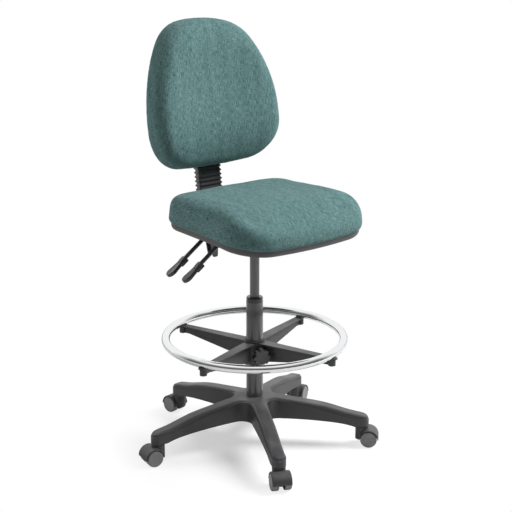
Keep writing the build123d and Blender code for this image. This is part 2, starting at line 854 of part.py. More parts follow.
def lever_rod(index):
    """Bent steel rod with its pivot boss; the inner end lies over the valve or the lock."""
    y = lever_y[index]
    bend = lever_bend(y)
    start = Vector(lever_reach_in[index], y, lever_level_z)
    path = FilletPolyline(start, bend, bend + lever_down * lever_slope, radius=lever_bend_r)
    rod = sweep(Plane(start, z_dir=(-1, 0, 0)) * Circle(lever_rod_r), path=path)
    outer = y - lever_boss_half if index == 0 else y + lever_boss_half
    inner = bracket_y[0] - bracket_side_gap if index == 0 else bracket_y[1] + bracket_side_gap
    low, high = sorted((outer, inner))
    rod += pin(lever_boss_r, high - low, (lever_pivot.X, low, lever_pivot.Z), (0, 1, 0))
    if index == 0:
        rod += box_between((-valve_pad, y, lever_level_z - 3), (valve_pad, valve_pad - 2, lever_level_z + 3))
    bore = pin(lever_pin_r + running_gap, high - low + 2, (lever_pivot.X, low - 1, lever_pivot.Z), (0, 1, 0))
    return rod - bore


def lever_paddle(index):
    """Moulded spoon on the rod: square mouth, widening blade, dished top."""
    bend = lever_bend(lever_y[index])
    local = Plane(bend + lever_down * paddle_start, x_dir=lever_down, z_dir=lever_up)
    mouth = Pos(paddle_mouth_half, 0) * Circle(paddle_mouth_half)
    blade_x = paddle_length - paddle_half
    blade = make_hull((mouth + Pos(blade_x, 0) * Circle(paddle_half)).edges())
    body = Pos(0, 0, -paddle_thick * 0.55) * extrude(blade, paddle_thick)
    body = fillet(body.edges(), 3.5)
    sleeve_length = lever_slope - paddle_start + 6
    sleeve_width = 2 * paddle_mouth_half
    sleeve = Pos(sleeve_length / 2 - 4, 0, -2) * Box(sleeve_length, sleeve_width, sleeve_width)
    body += chamfer(sleeve.edges(), 1.2)
    dish_z = paddle_thick * 0.45 + paddle_dish_r - paddle_dish
    body -= Pos(blade_x - 6, 0, dish_z) * scale(Sphere(paddle_dish_r), (1.8, 1, 1))
    socket = pin(lever_rod_r + press_gap, 10 + lever_slope - paddle_start + 0.5)
    body -= Pos(-10, 0, 0) * Rot(0, 90, 0) * socket
    return local * Rot(paddle_roll, 0, 0) * body


def lever_pin():
    """Pin through the bracket and both lever bosses, headed at the front, clipped at the rear."""
    front = lever_y[0] - lever_boss_half - seat_gap
    rear = lever_y[1] + lever_boss_half + seat_gap
    shaft = pin(lever_pin_r, rear - front + 5, (lever_pivot.X, front - 2, lever_pivot.Z), (0, 1, 0))
    head = pin(lever_pin_r + 2.5, 2, (lever_pivot.X, front - 2, lever_pivot.Z), (0, 1, 0))
    clip = pin(lever_pin_r + 2.2, 1.2, (lever_pivot.X, rear + 0.2, lever_pivot.Z), (0, 1, 0))
    return shaft + head + clip


# ================================================================ back
# Drawn with the bar's upright run on local Z, its bend corner at the local origin.

def on_bar(shape):
    return Pos(0, bar_y, bar_pivot_z) * Rot(-bar_lean, 0, 0) * shape


def back_bar():
    """Flat steel bar bent up behind the seat, with the pivot sleeve welded to its front end."""
    upright = Vector(0, sin(radians(bar_lean)), cos(radians(bar_lean)))
    corner = Vector(0, bar_y, bar_pivot_z)
    start = Vector(0, bar_pivot_y, bar_pivot_z)
    path = FilletPolyline(start, corner, corner + upright * bar_length, radius=bar_bend_r)
    section = Plane(start, x_dir=(1, 0, 0), z_dir=(0, 1, 0)) * Rectangle(bar_width, bar_thick)
    bar = sweep(section, path=path)
    corners = bar.edges().filter_by(lambda e: abs(e.length - bar_thick) < 0.1).sort_by(Axis.Z)[-2:]
    bar = fillet(corners, 12)
    sleeve_half = housing_half - housing_wall - seat_gap
    bar += pin(bar_sleeve_r, 2 * sleeve_half, (-sleeve_half, bar_pivot_y, bar_pivot_z), (1, 0, 0))
    bar -= pin(pivot_pin_r + running_gap, 200, (-100, bar_pivot_y, bar_pivot_z), (1, 0, 0))
    for step in range(notch_count):
        notch = Pos(0, 0, notch_first + notch_pitch * step) * Box(notch_width, 40, notch_height)
        bar -= on_bar(notch)
    return bar


def bar_bellows():
    """Folded rubber sleeve around the bar, from the bend to the underside of the back."""
    top = back_rise + back_lip - seat_gap
    folds = round((top - bellows_low) / bellows_pitch)
    pitch = (top - bellows_low) / folds
    tip = RectangleRounded(bellows_width, bellows_depth, 3)
    root = RectangleRounded(bellows_width - 2 * bellows_fold, bellows_depth - 2 * bellows_fold, 2)
    sleeve = None
    for i in range(folds):
        low = bellows_low + pitch * i
        lower = loft([Pos(0, 0, low) * root, Pos(0, 0, low + pitch / 2) * tip], ruled=True)
        upper = loft([Pos(0, 0, low + pitch / 2) * tip, Pos(0, 0, low + pitch) * root], ruled=True)
        sleeve = lower + upper if sleeve is None else sleeve + lower + upper
    core = Box(bar_width + 2 * bellows_gap, bar_thick + 2 * bellows_gap, 3 * back_rise)
    return on_bar(sleeve - core)


board_rear_y = -(bar_thick / 2 + bracket_slide_gap + bracket_wall + press_gap)
board_front_y = board_rear_y - back_board_thick
back_top_rise = back_rise + back_height


def back_plan(inset):
    """Back outline from the front: wide and round low down, narrowing to a rounder top."""
    low = (back_width / 2 - back_low_tuck - inset, back_rise + back_low_bow + inset)
    high = (back_width / 2 - back_high_tuck - inset, back_top_rise - back_high_bow - inset)
    middle = (back_width / 2 - inset, back_rise + back_height * back_waist)
    edges = [
        ThreePointArc((-low[0], low[1]), (0, back_rise + inset), low),
        ThreePointArc(low, middle, high),
        ThreePointArc(high, (0, back_top_rise - inset), (-high[0], high[1])),
        ThreePointArc((-high[0], high[1]), (-middle[0], middle[1]), (-low[0], low[1])),
    ]
    plan = make_face(edges)
    plan = fillet(plan.vertices().sort_by(Axis.Y)[:2], back_low_r - inset)
    plan = fillet(plan.vertices().sort_by(Axis.Y)[-2:], back_high_r - inset)
    return Plane.XZ * plan


def wrap(rear_y):
    """Upright cylinder whose rear wall, curving towards the sitter at the sides, lies at a depth."""
    column = Cylinder(back_wrap_r, back_height + 100, align=on_base)
    return Pos(0, rear_y - back_wrap_r, back_rise - 50) * column


def wrapped_slab(inset, rear_y, front_y):
    plate = extrude(back_plan(inset), back_wrap_r / 2, both=True)
    return plate & (wrap(rear_y) - wrap(front_y))


def broad_faces(slab_shape):
    """Front and rear faces of a wrapped slab."""
    return slab_shape.faces().sort_by(SortBy.AREA)[-2:].sort_by(Axis.Y)


def back_shell():
    """Outer cover: a shallow dish over the bracket, open at the bottom for the bar."""
    rear = board_rear_y + back_cavity
    dish = wrapped_slab(back_lip, rear, board_front_y)
    dish = fillet(broad_faces(dish)[1].edges(), shell_corner_r)
    hollow = wrapped_slab(back_lip + back_shell_wall, rear - back_shell_wall, board_front_y - 20)
    dish -= fillet(broad_faces(hollow)[1].edges(), shell_corner_r - back_shell_wall)
    half = bar_width / 2 + 6
    low = back_rise - 30
    return dish - box_between((-half, -bar_thick / 2 - 6, low), (half, bar_thick / 2 + 6, low + 60))


bracket_low = back_rise + bracket_rise
pawl_z = notch_first + notch_pitch


def back_screw_spots():
    heights = (bracket_low + back_screw_end, bracket_low + bracket_height - back_screw_end)
    return [(x, z) for x in (-back_screw_x, back_screw_x) for z in heights]


def back_board():
    board = wrapped_slab(back_lip + back_shell_wall + soft_gap, board_rear_y, board_front_y)
    for x, z in back_screw_spots():
        board -= pin(screw_r, 40, (x, board_rear_y - 30, z), (0, 1, 0))
    return board


def back_bracket():
    """Steel guide box on the board's rear, in which the bar slides."""
    outer_half = bar_width / 2 + bracket_slide_gap + bracket_wall
    inner_half = bar_width / 2 + bracket_slide_gap
    inner_depth = bar_thick / 2 + bracket_slide_gap
    outer_depth = inner_depth + bracket_wall
    high = bracket_low + bracket_height
    body = box_between((-outer_half, -outer_depth, bracket_low), (outer_half, outer_depth, high))
    body += box_between(
        (-bracket_width / 2, -outer_depth, bracket_low),
        (bracket_width / 2, -outer_depth + bracket_wall, high),
    )
    body -= box_between(
        (-inner_half, -inner_depth, bracket_low - 1),
        (inner_half, inner_depth, high - bracket_wall),
    )
    body -= box_between(
        (-notch_width / 2, 0, pawl_z - pawl_window),
        (notch_width / 2, outer_depth + 1, pawl_z + pawl_window),
    )
    for x, z in back_screw_spots():
        body -= pin(screw_r + 0.3, 60, (x, -30, z), (0, 1, 0))
    return body


def back_screw(x, z):
    """Screw through the bracket's flange into the board."""
    head_y = -(bar_thick / 2 + bracket_slide_gap)
    shank = pin(screw_r - press_gap, back_board_thick + bracket_wall, (x, head_y + 1, z), (0, -1, 0))
    return shank + pin(screw_r + 2.2, 2.5, (x, head_y + press_gap, z), (0, 1, 0))


def back_pawl():
    """Catch that drops into the bar's notches and holds the height of the back."""
    half = notch_width / 2 - seat_gap
    inner = bar_thick / 2 + bracket_slide_gap
    return box_between((-half, inner, pawl_z - pawl_half), (half, inner + bracket_wall, pawl_z + pawl_half))


def back_cushion():
    """Foam pad in front of the board, with a lip that laps round it and the shell's edge."""
    front = board_front_y - soft_gap
    pad = wrapped_slab(-back_bulge, board_rear_y + back_lip_reach, front - back_cushion_thick)
    pad = fillet(broad_faces(pad)[0].edges(), back_round_r)
    pad = fillet(broad_faces(pad)[1].edges(), back_tuck_r)
    pad -= wrapped_slab(back_lip - soft_gap, board_rear_y + back_cavity, front)
    throat = bellows_width / 2 + bellows_throat
    high = back_rise + back_lip + back_low_bow
    return pad - box_between((-throat, front + bellows_throat, 0), (throat, back_cavity, high))


# ================================================================ foot ring

knob_angle = ring_angle + 360 / spoke_count * 2.5 + knob_offset


def foot_ring():
    """Bent and welded chrome tube with a screw hole over each spoke."""
    section = Circle(ring_tube_r) - Circle(ring_tube_r - ring_tube_wall)
    ring = revolve(Plane.XZ * Pos(ring_r, ring_z) * Rot(0, 0, -90) * section, Axis.Z)
    for i in range(spoke_count):
        hole = pin(ring_screw_r + press_gap, ring_tube_wall + 4, (ring_r, 0, ring_z - ring_tube_r - 2))
        ring -= around(hole, ring_angle + 360 / spoke_count * i)
    return ring


def spoke():
    """One spoke on +X: flat flange on a deep tapering web, ending in a saddle under the ring."""
    root = Pos(spider_hub_r, 0) * Circle(spoke_root_width / 2)
    tip = Pos(spoke_tip_r - spoke_tip_width / 2, 0) * Circle(spoke_tip_width / 2)
    flange = slab(make_hull((root + tip).edges()), spoke_top_z - spoke_flange, spoke_top_z)
    side = [
        (0, spoke_top_z - 1),
        (spoke_tip_r - 6, spoke_top_z - 1),
        (spoke_tip_r - 6, spoke_top_z - spoke_tip_depth),
        (ring_r - ring_tube_r - 14, spoke_top_z - spoke_tip_depth),
        (spider_hub_r + 14, spoke_top_z - spoke_root_depth),
        (0, spoke_top_z - spoke_root_depth),
    ]
    web = extrude(Plane.XZ * make_face(Polyline(*side, close=True)), spoke_web / 2, both=True)
    end = slab(Pos(ring_r, 0) * Circle(spoke_tip_width / 2), spoke_top_z - spoke_tip_depth, spoke_top_z)
    return flange + web + end


def ring_spider():
    """Moulded hub with four spokes, a clamp boss and a bore that turns on the bush."""
    hub = drum(spider_hub_r, spider_low_z, spoke_top_z)
    hub = fillet(hub.edges().sort_by(Axis.Z)[0], 2)
    spider = hub
    for i in range(spoke_count):
        spider += around(spoke(), ring_angle + 360 / spoke_count * i)
    boss = around(pin(boss_r, boss_reach, (0, 0, knob_z), (1, 0, 0)), knob_angle)
    spider += boss
    spider -= Pos(0, 0, ring_z) * Torus(ring_r, ring_tube_r + press_gap)
    spider -= drum(tube_r + running_gap + ring_bush_wall + running_gap, spider_low_z - 1, spoke_top_z + 1)
    spider -= around(pin(stud_r + press_gap, boss_reach + 5, (10, 0, knob_z), (1, 0, 0)), knob_angle)
    for i in range(spoke_count):
        hole = pin(ring_screw_r + 0.3, 60, (ring_r, 0, spoke_top_z - 50))
        spider -= around(hole, ring_angle + 360 / spoke_count * i)
    return spider


def ring_bush():
    """Plastic sleeve that slides on the column, split down one side, with a flared collar."""
    inner = tube_r + running_gap
    outer = inner + ring_bush_wall
    low = spider_low_z - 4
    top = spoke_top_z + seat_gap
    profile = [
        (inner, low),
        (outer + 2, low),
        (outer + 2, spider_low_z - seat_gap),
        (outer, spider_low_z - seat_gap),
        (outer, top),
        (spider_hub_r - 1.5, top),
        (spider_hub_r, top + 2),
        (outer, top + ring_bush_flange),
        (inner, top + ring_bush_flange),
    ]
    bush = turned(profile)
    slot = box_between(
        (inner - 3, -bush_split / 2, low - 1),
        (spider_hub_r + 5, bush_split / 2, top + ring_bush_flange + 1),
    )
    return bush - around(slot, knob_angle + 180)


def ring_screw(index):
    low = spoke_top_z - spoke_tip_depth
    head = pin(ring_screw_r + 2.2, 2.5, (ring_r, 0, low - 2.5 - press_gap))
    shank = pin(ring_screw_r, spoke_tip_depth + 4, (ring_r, 0, low - 1))
    return around(head + shank, ring_angle + 360 / spoke_count * index)


def ring_knob():
    """Eight-lobed knob moulded round the stud's head."""
    body = Circle(knob_r - 5)
    for i in range(knob_lobes):
        body += Pos(*polar(knob_r - 6.5, 360 / knob_lobes * i)) * Circle(6.5)
    knob = extrude(body, knob_thick)
    knob = fillet(knob.edges().group_by(Axis.Z)[-1], 2)
    knob += Pos(0, 0, -6) * extrude(Circle(11), 7)
    knob -= Pos(0, 0, -7) * extrude(Circle(stud_r + press_gap), knob_thick + 2)
    start = boss_reach + 6 + seat_gap
    return around(Plane((start, 0, knob_z), x_dir=(0, 1, 0), z_dir=(1, 0, 0)) * knob, knob_angle)


def knob_stud():
    """Threaded stud, drawn plain, from the knob to just short of the bush."""
    start = tube_r + 2 * running_gap + ring_bush_wall + seat_gap
    length = boss_reach + 6 + knob_thick - 6 - start
    return around(pin(stud_r, length, (start, 0, knob_z), (1, 0, 0)), knob_angle)


# ================================================================ the assembly

pieces = {
    "base_star": base_star(),
    "column_tube": column_tube(),
    "tube_bush": tube_bush(),
    "thrust_bearing": lower_bearing(),
    "caster_stems": Compound([at_arm(caster_stem(), i) for i in range(arm_count)]),
    "piston_rod": piston_rod(),
    "lift_buffer": lift_buffer(),
    "rod_clip": rod_clip(),
    "piston": piston(),
    "gas_cylinder": gas_cylinder(),
    "cylinder_gland": cylinder_gland(),
    "valve_pin": valve_pin(),
    "seat_board": seat_board(),
    "seat_pan": seat_pan(),
    "seat_cushion": seat_cushion(),
    "seat_nuts": Compound([tee_nut(*spot) for spot in bolt_spots() + arm_spots()]),
    "seat_bolts": Compound([seat_bolt(*spot) for spot in bolt_spots()]),
    "mount_plate": mount_plate(),
    "mechanism_housing": mechanism_housing(),
    "pivot_pin": pivot_pin(),
    "lever_bracket": lever_bracket(),
    "lever_pin": lever_pin(),
    "height_lever": lever_rod(0),
    "height_paddle": lever_paddle(0),
    "back_lever": lever_rod(1),
    "back_paddle": lever_paddle(1),
    "back_bar": back_bar(),
    "bar_bellows": bar_bellows(),
    "back_bracket": on_bar(back_bracket()),
    "back_pawl": on_bar(back_pawl()),
    "back_board": on_bar(back_board()),
    "back_shell": on_bar(back_shell()),
    "back_cushion": on_bar(back_cushion()),
    "back_screws": on_bar(Compound([back_screw(*spot) for spot in back_screw_spots()])),
    "foot_ring": foot_ring(),
    "ring_spider": ring_spider(),
    "ring_bush": ring_bush(),
    "ring_screws": Compound([ring_screw(i) for i in range(spoke_count)]),
    "ring_knob": ring_knob(),
    "knob_stud": knob_stud(),
}

hood = caster_hood()
axle = caster_axle()
wheels = {"left": caster_wheel(1), "right": caster_wheel(-1)}
for i in range(arm_count):
    pieces[f"caster_{i + 1}_hood"] = at_arm(hood, i)
    pieces[f"caster_{i + 1}_axle"] = at_arm(axle, i)
    for side, wheel in wheels.items():
        pieces[f"caster_{i + 1}_wheel_{side}"] = at_arm(wheel, i)

for name, shape in pieces.items():
    save(name, shape)
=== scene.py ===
import json
import math

import bmesh
import bpy
import numpy as np
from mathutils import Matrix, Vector


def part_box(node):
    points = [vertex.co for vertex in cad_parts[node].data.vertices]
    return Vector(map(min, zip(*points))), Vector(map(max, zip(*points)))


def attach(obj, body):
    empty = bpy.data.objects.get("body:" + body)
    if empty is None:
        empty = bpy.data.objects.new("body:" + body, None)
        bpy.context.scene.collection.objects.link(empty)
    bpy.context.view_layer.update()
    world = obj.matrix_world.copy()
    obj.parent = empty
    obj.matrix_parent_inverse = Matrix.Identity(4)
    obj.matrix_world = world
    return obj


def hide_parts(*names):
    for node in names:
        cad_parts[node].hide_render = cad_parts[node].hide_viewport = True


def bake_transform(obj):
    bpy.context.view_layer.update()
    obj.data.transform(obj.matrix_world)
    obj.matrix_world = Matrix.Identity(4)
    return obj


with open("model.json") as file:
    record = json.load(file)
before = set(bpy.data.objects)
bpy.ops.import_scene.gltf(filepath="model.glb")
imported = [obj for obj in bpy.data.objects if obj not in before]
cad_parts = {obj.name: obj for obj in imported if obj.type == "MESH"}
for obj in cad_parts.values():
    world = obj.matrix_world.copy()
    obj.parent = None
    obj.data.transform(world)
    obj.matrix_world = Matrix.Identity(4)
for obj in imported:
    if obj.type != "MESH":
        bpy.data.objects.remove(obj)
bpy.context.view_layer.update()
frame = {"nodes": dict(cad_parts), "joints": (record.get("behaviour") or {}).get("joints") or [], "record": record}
nodes = frame["nodes"]
record = frame["record"]
joints = {joint["name"]: joint for joint in frame["joints"]}
print("frame loaded:", len(nodes), "nodes")


def linear(red, green, blue):
    # colour picked as 0 to 255 values, as the scene-linear numbers a shader wants
    def channel(value):
        value /= 255
        return value / 12.92 if value <= 0.04045 else ((value + 0.055) / 1.055) ** 2.4
    return channel(red), channel(green), channel(blue), 1.0


# shader groups, each built once and placed in several materials

def newGroup(name, inputs, outputs):
    group = bpy.data.node_groups.new(name, "ShaderNodeTree")
    for label, kind, value in inputs:
        socket = group.interface.new_socket(label, in_out="INPUT", socket_type=kind)
        if value is not None:
            socket.default_value = value
    for label, kind in outputs:
        group.interface.new_socket(label, in_out="OUTPUT", socket_type=kind)
    start = group.nodes.new("NodeGroupInput")
    end = group.nodes.new("NodeGroupOutput")
    return group, start, end


def maths(tree, operation, first, second=None, clamp=False):
    node = tree.nodes.new("ShaderNodeMath")
    node.operation = operation
    node.use_clamp = clamp
    for index, value in enumerate((first, second)):
        if value is None:
            continue
        if isinstance(value, (int, float)):
            node.inputs[index].default_value = value
        else:
            tree.links.new(value, node.inputs[index])
    return node.outputs[0]


def total(tree, first, second, clamp=False):
    return maths(tree, "ADD", first, second, clamp)


def product(tree, first, second, clamp=False):
    return maths(tree, "MULTIPLY", first, second, clamp)


def remap(tree, value, low, high, newLow=0.0, newHigh=1.0):
    node = tree.nodes.new("ShaderNodeMapRange")
    node.inputs["From Min"].default_value = low
    node.inputs["From Max"].default_value = high
    node.inputs["To Min"].default_value = newLow
    node.inputs["To Max"].default_value = newHigh
    tree.links.new(value, node.inputs["Value"])
    return node.outputs[0]


def noise(tree, vector, scale, detail=2.0, roughness=0.5):
    node = tree.nodes.new("ShaderNodeTexNoise")
    node.inputs["Detail"].default_value = detail
    node.inputs["Roughness"].default_value = roughness
    tree.links.new(vector, node.inputs["Vector"])
    if isinstance(scale, (int, float)):
        node.inputs["Scale"].default_value = scale
    else:
        tree.links.new(scale, node.inputs["Scale"])
    return node.outputs[0]


def mixColour(tree, factor, first, second):
    node = tree.nodes.new("ShaderNodeMix")
    node.data_type = "RGBA"
    for name, value in (("Factor_Float", factor), ("A_Color", first), ("B_Color", second)):
        socket = next(s for s in node.inputs if s.identifier == name)
        if isinstance(value, (int, float, tuple)):
            socket.default_value = value
        else:
            tree.links.new(value, socket)
    return next(s for s in node.outputs if s.identifier == "Result_Color")


def stretched(tree, across, along, widthAcross, lengthAlong):
    # a place counted in widths across and in lengths along
    node = tree.nodes.new("ShaderNodeCombineXYZ")
    tree.links.new(maths(tree, "DIVIDE", across, widthAcross), node.inputs[0])
    tree.links.new(maths(tree, "DIVIDE", along, lengthAlong), node.inputs[1])
    return node.outputs[0]


def objectPlace(tree):
    # a place on the piece itself, in metres
    return tree.nodes.new("ShaderNodeTexCoord").outputs["Object"]


weave = {
    "warpShare": 0.64,         # of the flecks, what the warp gives
    "fleckRough": 0.6,
    "cloudSpan": (0.4, 0.6),   # from the darker clouds to the lighter
    "weaveHeight": 0.5,
    "slubHeight": 1.6,
    "roughSpan": (0.95, 0.8),
}


def ridges(tree, distance, spacing):
    # evenly spaced ridges, as a wave from -1 to 1
    turns = product(tree, maths(tree, "DIVIDE", distance, spacing), 2 * math.pi)
    return maths(tree, "SINE", turns)


def wovenClothGroup():
    # melange cloth: flecked warp and weft streaks, soft cloudiness, and a plain weave in relief
    tree, start, end = newGroup("wovenCloth", [
        ("Place", "NodeSocketVector", None),
        ("Light Yarn", "NodeSocketColor", (0.3, 0.4, 0.4, 1)),
        ("Dark Yarn", "NodeSocketColor", (0.05, 0.1, 0.1, 1)),
        ("Thread", "NodeSocketFloat", 0.0012),
        ("Streak Width", "NodeSocketFloat", 0.0019),
        ("Streak Length", "NodeSocketFloat", 0.012),
        ("Band Width", "NodeSocketFloat", 0.022),
        ("Band Length", "NodeSocketFloat", 0.16),
        ("Contrast", "NodeSocketFloat", 3.0),
    ], [
        ("Colour", "NodeSocketColor"),
        ("Height", "NodeSocketFloat"),
        ("Roughness", "NodeSocketFloat"),
    ])
    split = tree.nodes.new("ShaderNodeSeparateXYZ")
    tree.links.new(start.outputs["Place"], split.inputs[0])
    across, along = split.outputs[0], split.outputs[1]
    width, length = start.outputs["Streak Width"], start.outputs["Streak Length"]
    bandWidth, bandLength = start.outputs["Band Width"], start.outputs["Band Length"]
    rough = weave["fleckRough"]
    warp = noise(tree, stretched(tree, across, along, width, length), 1.0, 2.0, rough)
    weft = noise(tree, stretched(tree, across, along, length, width), 1.0, 2.0, rough)
    cloud = noise(tree, stretched(tree, across, along, bandWidth, bandLength), 1.0, 2.0)
    warpPart = product(tree, warp, weave["warpShare"])
    flecks = total(tree, warpPart, product(tree, weft, 1 - weave["warpShare"]))
    strong = product(tree, maths(tree, "SUBTRACT", flecks, 0.5), start.outputs["Contrast"])
    share = total(tree, strong, remap(tree, cloud, 0.25, 0.75, *weave["cloudSpan"]), clamp=True)
    colour = mixColour(tree, share, start.outputs["Dark Yarn"], start.outputs["Light Yarn"])
    tree.links.new(colour, end.inputs["Colour"])
    thread = start.outputs["Thread"]
    crossings = product(tree, ridges(tree, across, thread), ridges(tree, along, thread))
    woven = product(tree, remap(tree, crossings, -1.0, 1.0), weave["weaveHeight"])
    height = total(tree, woven, product(tree, flecks, weave["slubHeight"]))
    tree.links.new(height, end.inputs["Height"])
    tree.links.new(remap(tree, flecks, 0.3, 0.7, *weave["roughSpan"]), end.inputs["Roughness"])
    return tree


patchScale = {"gloss": 9.0, "wearAndHighlight": 60.0, "dustAndSheen": 14.0, "smears": 18.0}  # patches in a metre


def spreadRoughness(tree, start, share):
    # from the lower to the higher roughness, by the share
    low, high = start.outputs["Rough Low"], start.outputs["Rough High"]
    return total(tree, low, product(tree, share, maths(tree, "SUBTRACT", high, low)))


def mouldedGrainGroup():
    # leathery spark-eroded grain of moulded plastic, with a slow change in gloss
    tree, start, end = newGroup("mouldedGrain", [
        ("Scale", "NodeSocketFloat", 900.0),
        ("Rough Low", "NodeSocketFloat", 0.4),
        ("Rough High", "NodeSocketFloat", 0.6),
    ], [
        ("Height", "NodeSocketFloat"),
        ("Roughness", "NodeSocketFloat"),
        ("Mottle", "NodeSocketFloat"),
    ])
    spot = objectPlace(tree)
    cells = tree.nodes.new("ShaderNodeTexVoronoi")
    cells.feature = "SMOOTH_F1"
    tree.links.new(spot, cells.inputs["Vector"])
    tree.links.new(start.outputs["Scale"], cells.inputs["Scale"])
    fine = noise(tree, spot, start.outputs["Scale"], 2.0)
    height = total(tree, cells.outputs["Distance"], product(tree, fine, 0.6))
    tree.links.new(height, end.inputs["Height"])
    share = remap(tree, noise(tree, spot, patchScale["gloss"], 4.0), 0.3, 0.7)
    tree.links.new(spreadRoughness(tree, start, share), end.inputs["Roughness"])
    tree.links.new(share, end.inputs["Mottle"])
    return tree


def edgeWearAndHighlightGroup():
    # brighter corners, broken up by noise: rubbed wear, and a painted highlight along the edges
    tree, start, end = newGroup("edgeWearAndHighlight", [
        ("Radius", "NodeSocketFloat", 0.0015),
        ("Amount", "NodeSocketFloat", 0.5),
    ], [("Mask", "NodeSocketFloat")])
    rounded = tree.nodes.new("ShaderNodeBevel")
    rounded.samples = 4
    tree.links.new(start.outputs["Radius"], rounded.inputs["Radius"])
    geometry = tree.nodes.new("ShaderNodeNewGeometry")
    facing = tree.nodes.new("ShaderNodeVectorMath")
    facing.operation = "DOT_PRODUCT"
    tree.links.new(rounded.outputs[0], facing.inputs[0])
    tree.links.new(geometry.outputs["Normal"], facing.inputs[1])
    edge = remap(tree, facing.outputs["Value"], 0.995, 0.85)
    spot = objectPlace(tree)
    patches = remap(tree, noise(tree, spot, patchScale["wearAndHighlight"], 4.0), 0.35, 0.7)
    wornAndHighlit = product(tree, product(tree, edge, patches), start.outputs["Amount"], clamp=True)
    tree.links.new(wornAndHighlit, end.inputs["Mask"])
    return tree


def dustAndSheenGroup():
    # thin dust that lies on what faces up, and painted sheen: upward faces painted lighter, as if lit from above
    tree, start, end = newGroup("dustAndPaintedSheen", [
        ("Amount", "NodeSocketFloat", 0.1),
    ], [("Mask", "NodeSocketFloat")])
    geometry = tree.nodes.new("ShaderNodeNewGeometry")
    split = tree.nodes.new("ShaderNodeSeparateXYZ")
    tree.links.new(geometry.outputs["Normal"], split.inputs[0])
    upward = remap(tree, split.outputs[2], 0.2, 1.0)
    spot = objectPlace(tree)
    patches = remap(tree, noise(tree, spot, patchScale["dustAndSheen"], 5.0), 0.3, 0.75)
    lying = product(tree, product(tree, upward, patches), start.outputs["Amount"], clamp=True)
    tree.links.new(lying, end.inputs["Mask"])
    return tree


def rubbedMetalGroup():
    # fine turning marks and handling smears in a metal's gloss
    tree, start, end = newGroup("rubbedMetal", [
        ("Marks", "NodeSocketFloat", 300.0),
        ("Rough Low", "NodeSocketFloat", 0.1),
        ("Rough High", "NodeSocketFloat", 0.2),
    ], [("Roughness", "NodeSocketFloat"), ("Height", "NodeSocketFloat")])
    spot = objectPlace(tree)
    smear = remap(tree, noise(tree, spot, patchScale["smears"], 4.0), 0.35, 0.7)
    tree.links.new(spreadRoughness(tree, start, smear), end.inputs["Roughness"])
    tree.links.new(noise(tree, spot, start.outputs["Marks"], 2.0), end.inputs["Height"])
    return tree


groups = {
    "cloth": wovenClothGroup(),
    "grain": mouldedGrainGroup(),
    "wearAndHighlight": edgeWearAndHighlightGroup(),
    "dustAndSheen": dustAndSheenGroup(),
    "metal": rubbedMetalGroup(),
}
print("shader groups built")


# materials, named as the frame names their slots

def newMaterial(name):
    material = bpy.data.materials.new(name)
    material.use_nodes = True
    tree = material.node_tree
    shader = tree.nodes["Principled BSDF"]
    return material, tree, shader


def place(tree, groupName, **values):
    node = tree.nodes.new("ShaderNodeGroup")
    node.node_tree = groups[groupName]
    for label, value in values.items():
        node.inputs[label.replace("_", " ")].default_value = value
    return node


def bump(tree, shader, height, distance, strength=1.0):
    node = tree.nodes.new("ShaderNodeBump")
    node.inputs["Distance"].default_value = distance
    node.inputs["Strength"].default_value = strength
    tree.links.new(height, node.inputs["Height"])
    tree.links.new(node.outputs[0], shader.inputs["Normal"])


clothLook = {
    "lightYarn": linear(125, 159, 158),
    "darkYarn": linear(29, 69, 68),
    "thread": 0.0013,
    "streakWidth": 0.0014,
    "streakLength": 0.017,
    "contrast": 3.0,
    "relief": 0.0005,
    "reliefStrength": 0.8,
    "sheen": 0.06,
    "sheenRough": 0.5,
    "specular": 0.2,
}


def clothMaterial(name):
    material, tree, shader = newMaterial(name)
    spot = tree.nodes.new("ShaderNodeAttribute")
    spot.attribute_name = "clothPlace"
    cloth = place(
        tree, "cloth",
        Light_Yarn=clothLook["lightYarn"], Dark_Yarn=clothLook["darkYarn"],
        Thread=clothLook["thread"], Contrast=clothLook["contrast"],
        Streak_Width=clothLook["streakWidth"], Streak_Length=clothLook["streakLength"],
    )
    tree.links.new(spot.outputs["Vector"], cloth.inputs["Place"])
    tree.links.new(cloth.outputs["Colour"], shader.inputs["Base Color"])
    tree.links.new(cloth.outputs["Roughness"], shader.inputs["Roughness"])
    bump(tree, shader, cloth.outputs["Height"], clothLook["relief"], clothLook["reliefStrength"])
    shader.inputs["Sheen Weight"].default_value = clothLook["sheen"]
    shader.inputs["Sheen Roughness"].default_value = clothLook["sheenRough"]
    shader.inputs["Specular IOR Level"].default_value = clothLook["specular"]
    return material


